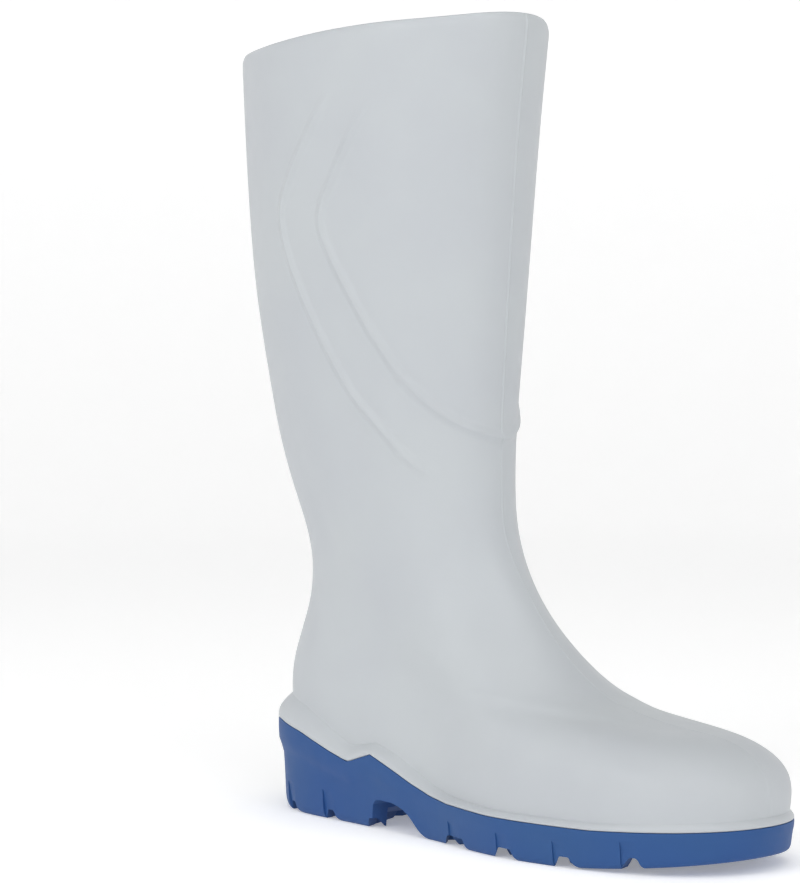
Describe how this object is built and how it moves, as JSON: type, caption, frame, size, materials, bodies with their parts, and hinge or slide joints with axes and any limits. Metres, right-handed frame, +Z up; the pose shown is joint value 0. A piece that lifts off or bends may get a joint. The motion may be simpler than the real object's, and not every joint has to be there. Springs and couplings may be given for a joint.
{
  "type": "safety rubber boot",
  "caption": "Right knee-low safety boot in moulded white rubber with a blue cupped outsole, lug tread, stepped heel and a loose insole; stands empty on its sole.",
  "frame": {"origin": "on the floor, under the middle of the boot's bounding box", "axes": "+X to the toe, +Y to the inner (medial) side of this right boot, +Z up; the boot stands on z = 0"},
  "size_m": [0.3268, 0.1212, 0.396],
  "materials": {
    "white_rubber": "satin moulded rubber, light cool grey-white",
    "blue_rubber": "satin moulded rubber, mid blue",
    "insole_felt": "dull felt on foam, grey"
  },
  "bodies": {
    "root": {"upper": "white_rubber", "outsole": "blue_rubber", "insole": "insole_felt"}
  },
  "joints": []
}
